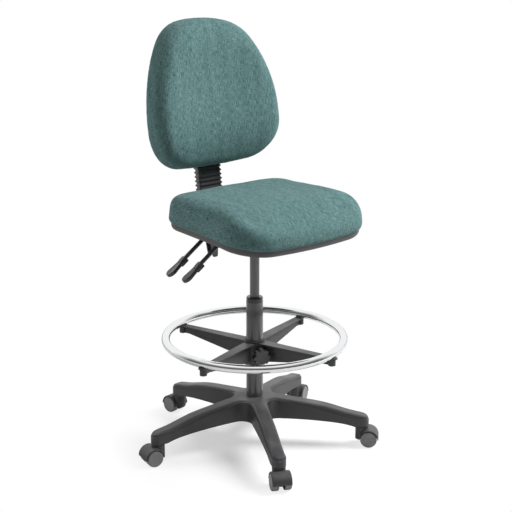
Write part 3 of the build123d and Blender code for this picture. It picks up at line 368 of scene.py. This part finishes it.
# what a look below doesn't say for itself
plasticUsual = {
    "wearAndHighlightRadius": 0.0012,
    "wearAndHighlight": 0.2,
    "wornAndHighlightColour": linear(120, 120, 122),
    "dustAndSheen": 0.05,
    "dustAndSheenColour": linear(170, 168, 164),
    "mottle": (1.25, 0.004),   # lighter patches: so many times the colour, and so much more
    "relief": 0.00008,
    "reliefStrength": 0.3,
    "coat": 0.0,
    "coatRough": 0.15,
}
plasticLooks = {
    # the charcoal's large share of dust is mostly painted sheen, which lightens its upward faces
    "charcoal_nylon": {
        "colour": linear(60, 60, 62), "grain": 700.0, "rough": (0.36, 0.48), "wearAndHighlight": 0.15, "dustAndSheen": 0.2},
    "wheel_nylon": {
        "colour": linear(122, 122, 124), "grain": 900.0, "rough": (0.3, 0.45), "wearAndHighlight": 0.3},
    "gloss_black": {
        "colour": linear(22, 22, 23), "grain": 300.0, "rough": (0.12, 0.22),
        "relief": 0.00002, "coat": 0.4},
    "guide_plastic": {"colour": linear(46, 46, 48), "grain": 600.0, "rough": (0.35, 0.5)},
    "soft_rubber": {"colour": linear(38, 38, 38), "grain": 500.0, "rough": (0.6, 0.75)},
    "bellows_rubber": {
        "colour": linear(50, 50, 51), "grain": 400.0, "rough": (0.2, 0.32),
        "relief": 0.00003, "coat": 0.3},
    "pan_grey": {"colour": linear(78, 77, 79), "grain": 800.0, "rough": (0.45, 0.6)},
    "shell_black": {"colour": linear(64, 64, 66), "grain": 800.0, "rough": (0.3, 0.42)},
}


def plasticMaterial(name, look):
    look = {**plasticUsual, **look}
    material, tree, shader = newMaterial(name)
    low, high = look["rough"]
    grain = place(tree, "grain", Scale=look["grain"], Rough_Low=low, Rough_High=high)
    wearAndHighlight = place(tree, "wearAndHighlight", Radius=look["wearAndHighlightRadius"], Amount=look["wearAndHighlight"])
    dustAndSheen = place(tree, "dustAndSheen", Amount=look["dustAndSheen"])
    times, more = look["mottle"]
    lighter = tuple(min(1.0, channel * times + more) for channel in look["colour"][:3]) + (1.0,)
    mottled = mixColour(tree, grain.outputs["Mottle"], look["colour"], lighter)
    # rubbed wear and painted edge highlight: the corners mixed towards a lighter colour
    wornAndHighlit = mixColour(tree, wearAndHighlight.outputs["Mask"], mottled, look["wornAndHighlightColour"])
    # dust and painted sheen: upward faces mixed towards a lighter colour
    dustyAndSheened = mixColour(tree, dustAndSheen.outputs["Mask"], wornAndHighlit, look["dustAndSheenColour"])
    tree.links.new(dustyAndSheened, shader.inputs["Base Color"])
    tree.links.new(grain.outputs["Roughness"], shader.inputs["Roughness"])
    bump(tree, shader, grain.outputs["Height"], look["relief"], look["reliefStrength"])
    shader.inputs["Coat Weight"].default_value = look["coat"]
    shader.inputs["Coat Roughness"].default_value = look["coatRough"]
    return material


paintUsual = {
    "wearAndHighlightRadius": 0.001,
    "wearAndHighlight": 0.25,
    "wornAndHighlightColour": linear(130, 130, 132),
    "relief": 0.00006,
    "reliefStrength": 0.5,
    "metallic": 0.0,
    "coat": 0.0,
    "coatRough": 0.12,
}
paintLooks = {
    "tube_black": {
        "colour": linear(82, 82, 84), "peel": 900.0, "rough": (0.16, 0.24), "coat": 0.6},
    "lift_grey": {
        "colour": linear(112, 112, 114), "peel": 500.0, "rough": (0.28, 0.38), "metallic": 0.35},
    "mechanism_black": {
        "colour": linear(66, 66, 67), "peel": 1100.0, "rough": (0.32, 0.45), "coat": 0.2},
}


def paintMaterial(name, look):
    look = {**paintUsual, **look}
    material, tree, shader = newMaterial(name)
    low, high = look["rough"]
    metal = place(tree, "metal", Marks=look["peel"], Rough_Low=low, Rough_High=high)
    wearAndHighlight = place(tree, "wearAndHighlight", Radius=look["wearAndHighlightRadius"], Amount=look["wearAndHighlight"])
    # rubbed wear and painted edge highlight: the corners mixed towards a lighter colour
    wornAndHighlit = mixColour(tree, wearAndHighlight.outputs["Mask"], look["colour"], look["wornAndHighlightColour"])
    tree.links.new(wornAndHighlit, shader.inputs["Base Color"])
    tree.links.new(metal.outputs["Roughness"], shader.inputs["Roughness"])
    bump(tree, shader, metal.outputs["Height"], look["relief"], look["reliefStrength"])
    shader.inputs["Metallic"].default_value = look["metallic"]
    shader.inputs["Coat Weight"].default_value = look["coat"]
    shader.inputs["Coat Roughness"].default_value = look["coatRough"]
    return material


metalRelief = {"height": 0.00002, "strength": 0.3}
metalLooks = {
    "ring_chrome": {"colour": linear(238, 239, 240), "marks": 60.0, "rough": (0.07, 0.11)},
    "bright_steel": {"colour": linear(190, 190, 186), "marks": 700.0, "rough": (0.25, 0.4)},
    "bearing_steel": {"colour": linear(196, 196, 198), "marks": 500.0, "rough": (0.15, 0.28)},
}


def metalMaterial(name, look):
    material, tree, shader = newMaterial(name)
    low, high = look["rough"]
    metal = place(tree, "metal", Marks=look["marks"], Rough_Low=low, Rough_High=high)
    tree.links.new(metal.outputs["Roughness"], shader.inputs["Roughness"])
    bump(tree, shader, metal.outputs["Height"], metalRelief["height"], metalRelief["strength"])
    shader.inputs["Base Color"].default_value = look["colour"]
    shader.inputs["Metallic"].default_value = 1.0
    return material


plywood = {
    "grainScale": (60.0, 6.0, 60.0),
    "dark": linear(176, 142, 102),
    "light": linear(214, 184, 142),
    "rough": 0.7,
    "relief": 0.0002,
    "reliefStrength": 0.4,
}


def plywoodMaterial(name):
    material, tree, shader = newMaterial(name)
    spot = objectPlace(tree)
    longGrain = tree.nodes.new("ShaderNodeMapping")
    longGrain.inputs["Scale"].default_value = plywood["grainScale"]
    tree.links.new(spot, longGrain.inputs["Vector"])
    grain = remap(tree, noise(tree, longGrain.outputs[0], 1.5, 5.0, 0.6), 0.3, 0.7)
    veneer = mixColour(tree, grain, plywood["dark"], plywood["light"])
    tree.links.new(veneer, shader.inputs["Base Color"])
    shader.inputs["Roughness"].default_value = plywood["rough"]
    bump(tree, shader, grain, plywood["relief"], plywood["reliefStrength"])
    return material


materials = {name: plasticMaterial(name, look) for name, look in plasticLooks.items()}
materials.update({name: paintMaterial(name, look) for name, look in paintLooks.items()})
materials.update({name: metalMaterial(name, look) for name, look in metalLooks.items()})
materials["birch_ply"] = plywoodMaterial("birch_ply")
materials["seat_fabric"] = clothMaterial("seat_fabric")
materials["back_fabric"] = clothMaterial("back_fabric")
print("materials built:", len(materials))


for part in record["subparts"]:
    node = nodes[part["node"]]
    node.data.materials.clear()
    node.data.materials.append(materials[part["material_slot"]])
print("materials placed on the frame")


# soft pieces, made again over their solids

def newObject(name, data):
    piece = bpy.data.objects.new(name, data)
    bpy.context.scene.collection.objects.link(piece)
    return piece


def points(mesh):
    flat = np.empty(len(mesh.vertices) * 3)
    mesh.vertices.foreach_get("co", flat)
    return flat.reshape(-1, 3)


def pointNormals(mesh):
    flat = np.empty(len(mesh.vertices) * 3)
    mesh.vertices.foreach_get("normal", flat)
    return flat.reshape(-1, 3)


def setPoints(mesh, places):
    mesh.vertices.foreach_set("co", places.ravel())
    mesh.update()


def settle(piece):
    # the mesh as its modifiers leave it, with no modifier left on the piece
    graph = bpy.context.evaluated_depsgraph_get()
    graph.update()
    mesh = bpy.data.meshes.new_from_object(piece.evaluated_get(graph))
    piece.modifiers.clear()
    piece.data = mesh
    return mesh


def remeshed(node, name, voxel):
    piece = newObject(name, nodes[node].data.copy())
    piece.data.materials.clear()
    remesh = piece.modifiers.new("even mesh", "REMESH")
    remesh.mode = "VOXEL"
    remesh.voxel_size = voxel
    settle(piece)
    return piece


def relaxed(piece, factor, repeats):
    smooth = piece.modifiers.new("relax", "SMOOTH")
    smooth.factor = factor
    smooth.iterations = repeats
    settle(piece)


def evened(mesh, field, repeats):
    # a quantity over the points, averaged again and again with its neighbours
    ends = np.empty(len(mesh.edges) * 2, dtype=np.int32)
    mesh.edges.foreach_get("vertices", ends)
    first, second = ends.reshape(-1, 2).T
    count = np.maximum(np.bincount(ends, minlength=len(field)), 1)
    for _ in range(repeats):
        for axis in range(3):
            around = np.bincount(first, field[second, axis], len(field))
            around += np.bincount(second, field[first, axis], len(field))
            field[:, axis] = 0.5 * field[:, axis] + 0.5 * around / count
    return field


cover = {
    "pressure": 4.0,
    "tension": 12.0,
    "mass": 0.3,
    "quality": 4,            # steps of the cloth solver in a frame
    "frames": 20,
    "leastHeld": 0.01,       # what is held less than this is free
    "evened": 40,            # times that the foam's push is averaged over the cover
}


def puffed(piece, held, mostMove):
    # foam pressing its cover out: held is 1 where the cover is fastened, 0 where it is free
    rest = points(piece.data)
    group = piece.vertex_groups.new(name="held")
    for index, weight in enumerate(held):
        if weight > cover["leastHeld"]:
            group.add([index], float(weight), "REPLACE")
    cloth = piece.modifiers.new("cover", "CLOTH")
    cloth.settings.quality = cover["quality"]
    cloth.settings.mass = cover["mass"]
    cloth.settings.tension_stiffness = cover["tension"]
    cloth.settings.compression_stiffness = cover["tension"]
    cloth.settings.use_pressure = True
    cloth.settings.uniform_pressure_force = cover["pressure"]
    cloth.settings.vertex_group_mass = "held"
    cloth.settings.effector_weights.gravity = 0
    cloth.collision_settings.use_collision = False
    cloth.point_cache.frame_start = 1
    cloth.point_cache.frame_end = cover["frames"]
    for number in range(1, cover["frames"] + 1):
        bpy.context.scene.frame_set(number)
    settle(piece)
    bpy.context.scene.frame_set(1)
    moved = points(piece.data) - rest
    length = np.linalg.norm(moved, axis=1, keepdims=True)
    most = mostMove * (1 - held.reshape(-1, 1))
    limited = moved * np.minimum(1.0, most / np.maximum(length, 1e-9))
    setPoints(piece.data, rest + evened(piece.data, limited, cover["evened"]))


def subdivided(piece):
    layer = piece.modifiers.new("fine", "SUBSURF")
    layer.levels = 1
    layer.render_levels = 1
    settle(piece)
    for face in piece.data.polygons:
        face.use_smooth = True


def giveClothPlace(piece, places):
    # where each point lies on the flat cloth, across and along the warp, in metres
    layer = piece.data.attributes.new("clothPlace", "FLOAT_VECTOR", "POINT")
    layer.data.foreach_set("vector", places.astype(np.float32).ravel())


def smoothStep(value, low, high):
    share = np.clip((value - low) / (high - low), 0, 1)
    return share * share * (3 - 2 * share)


def outlineDistance(flat, directions=240):
    # how far each point lies inside the piece's convex outline
    nearest = np.full(len(flat), np.inf)
    for angle in np.linspace(0, 2 * math.pi, directions, endpoint=False):
        reach = flat @ np.array([math.cos(angle), math.sin(angle)])
        nearest = np.minimum(nearest, reach.max() - reach)
    return nearest


def edgeFall(distance, reach, depth):
    # a face that turns away towards its outline, more and more steeply
    return depth * (np.clip(reach - distance, 0, None) / reach) ** 2


def clothPlaces(flat, facing, drop, sideways=(0.4, 0.95)):
    # the cover laid flat: its face as it is, and its sides, which face sideways, folded out
    side = np.linalg.norm(facing[:, :2], axis=1, keepdims=True)
    outward = facing[:, :2] / np.maximum(side, 1e-6)
    cloth = np.zeros((len(flat), 3))
    cloth[:, :2] = flat + outward * smoothStep(side, *sideways) * drop.reshape(-1, 1)
    return cloth


seatPad = {
    "voxel": 0.0055,
    "relax": (0.5, 6),       # how strongly and how often the even mesh is smoothed
    "baseLevel": 0.012,      # above the pad's lowest point, where heights are counted from
    "crown": 0.009,          # extra height, nearly level up to the edges
    "sideRise": 0.007,       # and more along the two sides, between the corners
    "sideReach": (0.5, 0.9),  # where the sides begin and where they are full, out of 1
    "pullIn": 0.001,         # the sides drawn in, so that they run straight
    "heldBelow": 0.006,      # above the base, the cover that doesn't move at all
    "fastened": 0.016,       # above the base, the cover that the crown doesn't lift
    "heldFade": 0.02,        # and how much higher the cover is wholly free
    "shoulder": 0.02,        # below the top, where the cover's side begins
    "mostMove": 0.007,
}


def makeSeatPad():
    low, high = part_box("seat_cushion")
    piece = remeshed("seat_cushion", "seatPad", seatPad["voxel"])
    relaxed(piece, *seatPad["relax"])
    places = points(piece.data)
    centre = (low + high) / 2
    half = (high - low) / 2
    across = (places[:, 0] - centre.x) / half.x
    along = (places[:, 1] - centre.y) / half.y
    base = low.z + seatPad["baseLevel"]
    fastened = base + seatPad["fastened"]
    height = smoothStep(places[:, 2], fastened, high.z)
    places[:, 2] += seatPad["crown"] * height * (1 - across**4).clip(0) * (1 - along**4).clip(0)
    sides = smoothStep(np.abs(across), *seatPad["sideReach"]) * (1 - along**2).clip(0)
    places[:, 2] += seatPad["sideRise"] * height * sides
    places[:, 0] -= np.sign(across) * seatPad["pullIn"] * sides
    setPoints(piece.data, places)
    free = smoothStep(places[:, 2], base + seatPad["heldBelow"], fastened + seatPad["heldFade"])
    puffed(piece, 1 - free, seatPad["mostMove"])
    subdivided(piece)
    places = points(piece.data)
    drop = np.clip(high.z - seatPad["shoulder"] - places[:, 2], 0, None)
    giveClothPlace(piece, clothPlaces(places[:, :2], pointNormals(piece.data), drop))
    piece.data.materials.append(materials["seat_fabric"])
    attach(piece, "seat")
    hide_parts("seat_cushion")
    return piece


backUp = Vector(joints["back_height"]["axis"]).normalized()
backSide = Vector((1, 0, 0))
backDeep = backSide.cross(backUp).normalized()
if backDeep.y < 0:
    backDeep = -backDeep     # it points away from the sitter
backAxes = np.array([backSide, backUp, backDeep])


def backFrame(places):
    # across, up and depth along the leaning back
    return places @ backAxes.T


def fromBackFrame(local):
    return local @ backAxes


def backPoint(across, up, deep):
    return fromBackFrame(np.array([[across, up, deep]]))[0]


backPad = {
    "voxel": 0.0055,
    "relax": (0.5, 6),
    "spread": (1.022, 1.03),       # the stretched cover, across and up
    "lift": 0.002,
    "wrapRadius": 0.62,            # the back's curve in plan
    "face": (0.015, 0.012),        # this near the front it is all face, this near the rear none
    "lumbar": 0.008,               # fullness low down, at the sitter's waist
    "lumbarHeight": 0.30,          # its middle, as a share of the pad's height
    "lumbarSpread": 0.22,          # and its spread, as another
    "crown": 0.005,
    "sideTurn": (0.06, 0.006),     # how far in the face starts to turn away, and by how much
    "lowTurn": (0.13, 0.010),      # the same again, upwards from the bottom edge
    "topTurn": (0.12, 0.009),      # the same again, down from the top edge
    "lip": (0.014, 0.032),         # cover held behind the board, measured from the rear
    "shoulder": 0.02,              # behind the front, where the cover's side begins
    "mostMove": 0.006,
}


def wrapDepth(local):
    # depth measured from the curve in plan
    return local[:, 2] + local[:, 0] ** 2 / (2 * backPad["wrapRadius"])


def makeBackPad():
    piece = remeshed("back_cushion", "backPad", backPad["voxel"])
    relaxed(piece, *backPad["relax"])
    local = backFrame(points(piece.data))
    low, high = local.min(axis=0), local.max(axis=0)
    for axis, growth in enumerate(backPad["spread"]):
        middle = (low[axis] + high[axis]) / 2
        local[:, axis] = middle + (local[:, axis] - middle) * growth
    local[:, 1] += backPad["lift"]
    low, high = local.min(axis=0), local.max(axis=0)
    share = (local[:, 1] - low[1]) / (high[1] - low[1])
    across = local[:, 0] / high[0]
    depth = wrapDepth(local)
    allFace, noFace = backPad["face"]
    front = 1 - smoothStep(depth, depth.min() + allFace, depth.max() - noFace)
    fromWaist = (share - backPad["lumbarHeight"]) / backPad["lumbarSpread"]
    lumbar = np.exp(-(fromWaist**2)) * (1 - across**2).clip(0)
    crown = (1 - across**2).clip(0) * (1 - (2 * share - 1) ** 2).clip(0)
    inside = outlineDistance(local[:, :2])
    below = local[:, 1] - low[1]
    turned = edgeFall(inside, *backPad["sideTurn"]) + edgeFall(below, *backPad["lowTurn"])
    turned += edgeFall(high[1] - local[:, 1], *backPad["topTurn"])
    local[:, 2] += front * (turned - backPad["lumbar"] * lumbar - backPad["crown"] * crown)
    setPoints(piece.data, fromBackFrame(local))
    near, far = backPad["lip"]
    held = smoothStep(depth, depth.max() - far, depth.max() - near)
    puffed(piece, held, backPad["mostMove"])
    subdivided(piece)
    local = backFrame(points(piece.data))
    depth = wrapDepth(local)
    drop = np.clip(depth - depth.min() - backPad["shoulder"], 0, None)
    giveClothPlace(piece, clothPlaces(local[:, :2], backFrame(pointNormals(piece.data)), drop))
    piece.data.materials.append(materials["back_fabric"])
    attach(piece, "back")
    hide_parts("back_cushion")
    return piece


bellows = {
    "folds": 10,
    "foldDepth": 0.0042,
    "foldShape": 0.8,        # under 1, the valleys are wide and the folds between them narrow
    "wall": 0.0016,
    "cornerRound": 0.006,
    "cornerShrink": 0.5,     # what a corner's radius loses, of how far inward it lies
    "cornerPoints": 12,
    "stepsPerFold": 8,
}


def roundedRectangle(halfWide, halfDeep, radius, cornerPoints):
    ring = []
    for turn, (signX, signY) in enumerate(((1, 1), (-1, 1), (-1, -1), (1, -1))):
        for step in range(cornerPoints):
            angle = math.radians(90 * turn + 90 * step / (cornerPoints - 1))
            ring.append((
                signX * (halfWide - radius) + radius * math.cos(angle),
                signY * (halfDeep - radius) + radius * math.sin(angle),
            ))
    return ring


def makeBellows():
    local = backFrame(points(nodes["bar_bellows"].data))
    low, high = local.min(axis=0), local.max(axis=0)
    halfWide = (high[0] - low[0]) / 2
    halfDeep = (high[2] - low[2]) / 2
    middleDeep = (high[2] + low[2]) / 2
    steps = bellows["folds"] * bellows["stepsPerFold"]
    rings = []
    for step in range(steps + 1):
        turn = step / bellows["stepsPerFold"] * 2 * math.pi
        inward = bellows["foldDepth"] * (0.5 + 0.5 * math.cos(turn)) ** bellows["foldShape"]
        rings.append((low[1] + (high[1] - low[1]) * step / steps, inward))
    inner = bellows["foldDepth"] + bellows["wall"]
    rings += [(high[1], inner), (low[1], inner)]
    work = bmesh.new()
    loops = []
    for up, inward in rings:
        radius = bellows["cornerRound"] - bellows["cornerShrink"] * inward
        outline = roundedRectangle(
            halfWide - inward, halfDeep - inward, radius, bellows["cornerPoints"],
        )
        loops.append([
            work.verts.new(backPoint(across, up, middleDeep + deep)) for across, deep in outline
        ])
    for first, second in zip(loops, loops[1:] + loops[:1]):
        for index in range(len(first)):
            following = (index + 1) % len(first)
            work.faces.new((first[index], first[following], second[following], second[index]))
    bmesh.ops.recalc_face_normals(work, faces=work.faces)
    mesh = bpy.data.meshes.new("bellows")
    work.to_mesh(mesh)
    work.free()
    for face in mesh.polygons:
        face.use_smooth = True
    piece = newObject("bellows", mesh)
    piece.data.materials.append(materials["bellows_rubber"])
    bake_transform(piece)
    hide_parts("bar_bellows")
    return piece


makeSeatPad()
print("seat pad made")
makeBackPad()
print("back pad made")
makeBellows()
print("bellows made")


# floor, light and camera

studio = {
    "floorHalf": 30.0,
    "floorColour": (0.6, 0.6, 0.6, 1.0),
    "floorRough": 0.9,
    "floorSpecular": 0.1,
    "floorLift": 0.43,             # what a camera ray adds, so that the lit floor is white
    "mirroredLift": 0.1,           # the same for what the chrome reflects
    "shadowReach": (0.17, 0.44),   # from the column: shadows fade from the first to the second
    "horizonLevel": 0.06,
    "zenithLevel": 0.34,
    "skyReach": (0.0, 0.9),        # upwards, the horizon's level gives way to the zenith's
    "sweepSide": (0.64, 0.77),     # towards the white sweep behind the chair
    "sweepEdge": (-0.1, 0.45),     # in what shines, the dim side gives way to the sweep
    "ceilingEdge": (0.5, 0.85),    # and upwards to the ceiling
    "frontLevel": 0.07,            # the dim side, in what shines
    "aim": (0, 0, 0.55),
    "key": {"power": 284.0, "size": 2.2, "place": (2.8, -1.8, 3.6)},
    "rim": {"power": 48.0, "size": 1.6, "place": (-3.0, 2.3, 1.7)},
}


def makeFloor():
    half = studio["floorHalf"]
    mesh = bpy.data.meshes.new("floor")
    corners = [(-half, -half, 0), (half, -half, 0), (half, half, 0), (-half, half, 0)]
    mesh.from_pydata(corners, [], [(0, 1, 2, 3)])
    floor = newObject("floor", mesh)
    material, tree, shader = newMaterial("pale_floor")
    shader.inputs["Base Color"].default_value = studio["floorColour"]
    shader.inputs["Roughness"].default_value = studio["floorRough"]
    shader.inputs["Specular IOR Level"].default_value = studio["floorSpecular"]
    shader.inputs["Emission Color"].default_value = (1, 1, 1, 1)
    rays = tree.nodes.new("ShaderNodeLightPath")
    shown = rays.outputs["Is Camera Ray"]
    mirrored = product(tree, rays.outputs["Is Glossy Ray"], studio["mirroredLift"])
    lift = maths(tree, "MAXIMUM", product(tree, shown, studio["floorLift"]), mirrored)
    tree.links.new(lift, shader.inputs["Emission Strength"])
    spot = objectPlace(tree)
    away = tree.nodes.new("ShaderNodeVectorMath")
    away.operation = "LENGTH"
    tree.links.new(spot, away.inputs[0])
    fade = product(tree, remap(tree, away.outputs["Value"], *studio["shadowReach"]), shown)
    white = tree.nodes.new("ShaderNodeEmission")
    blend = tree.nodes.new("ShaderNodeMixShader")
    tree.links.new(fade, blend.inputs["Fac"])
    tree.links.new(shader.outputs[0], blend.inputs[1])
    tree.links.new(white.outputs[0], blend.inputs[2])
    # seen from below, the floor is clear
    geometry = tree.nodes.new("ShaderNodeNewGeometry")
    clear = tree.nodes.new("ShaderNodeBsdfTransparent")
    oneSided = tree.nodes.new("ShaderNodeMixShader")
    tree.links.new(geometry.outputs["Backfacing"], oneSided.inputs["Fac"])
    tree.links.new(blend.outputs[0], oneSided.inputs[1])
    tree.links.new(clear.outputs[0], oneSided.inputs[2])
    tree.links.new(oneSided.outputs[0], tree.nodes["Material Output"].inputs["Surface"])
    mesh.materials.append(material)


def makeSky():
    world = bpy.data.worlds.new("studio")
    bpy.context.scene.world = world
    world.use_nodes = True
    tree = world.node_tree
    light = tree.nodes["Background"]
    light.inputs["Color"].default_value = (1, 1, 1, 1)
    rays = tree.nodes.new("ShaderNodeLightPath")
    direction = tree.nodes.new("ShaderNodeSeparateXYZ")
    tree.links.new(tree.nodes.new("ShaderNodeTexCoord").outputs["Generated"], direction.inputs[0])
    sideways, backward, upward = direction.outputs
    overhead = remap(
        tree, upward, *studio["skyReach"], studio["horizonLevel"], studio["zenithLevel"],
    )
    # what shines is lit by the white sweep behind the chair and by the ceiling
    sweepX, sweepY = studio["sweepSide"]
    behind = total(tree, product(tree, sideways, sweepX), product(tree, backward, sweepY))
    mirrored = remap(tree, behind, *studio["sweepEdge"], studio["frontLevel"], 1.0)
    mirrored = maths(tree, "MAXIMUM", mirrored, remap(tree, upward, *studio["ceilingEdge"]))
    shiny = maths(tree, "MAXIMUM", rays.outputs["Is Glossy Ray"], rays.outputs["Is Transmission Ray"])
    level = maths(tree, "MAXIMUM", overhead, product(tree, mirrored, shiny))
    level = maths(tree, "MAXIMUM", level, rays.outputs["Is Camera Ray"])
    tree.links.new(level, light.inputs["Strength"])


def makeLamp(name):
    lamp = bpy.data.lights.new(name, "AREA")
    lamp.shape = "DISK"
    lamp.size = studio[name]["size"]
    lamp.energy = studio[name]["power"]
    holder = newObject(name, lamp)
    holder.visible_glossy = False    # what shines shows the studio, not the lamps
    holder.location = studio[name]["place"]
    facing = Vector(studio["aim"]) - holder.location
    holder.rotation_euler = facing.to_track_quat("-Z", "Y").to_euler()


shot = {
    "azimuth": -40.0,
    "elevation": 15.87,
    "distance": 3.6155,
    "targetHeight": 0.5798,
    "lens": 87.16,
    "sensor": 36.0,
    "shiftX": 0.0027,
    "farthest": 100.0,
}


def makeCamera():
    turn, lift = math.radians(shot["azimuth"]), math.radians(shot["elevation"])
    level = math.cos(lift)
    away = Vector((math.sin(turn) * level, -math.cos(turn) * level, math.sin(lift)))
    target = Vector((0, 0, shot["targetHeight"]))
    lensData = bpy.data.cameras.new("camera")
    lensData.lens = shot["lens"]
    lensData.sensor_width = shot["sensor"]
    lensData.shift_x = shot["shiftX"]
    lensData.clip_end = shot["farthest"]
    camera = newObject("camera", lensData)
    camera.location = target + away * shot["distance"]
    camera.rotation_euler = (-away).to_track_quat("-Z", "Y").to_euler()
    bpy.context.scene.camera = camera


makeFloor()
makeSky()
makeLamp("key")
makeLamp("rim")
makeCamera()
bpy.context.scene.view_settings.view_transform = "Standard"
print("floor, light and camera made")
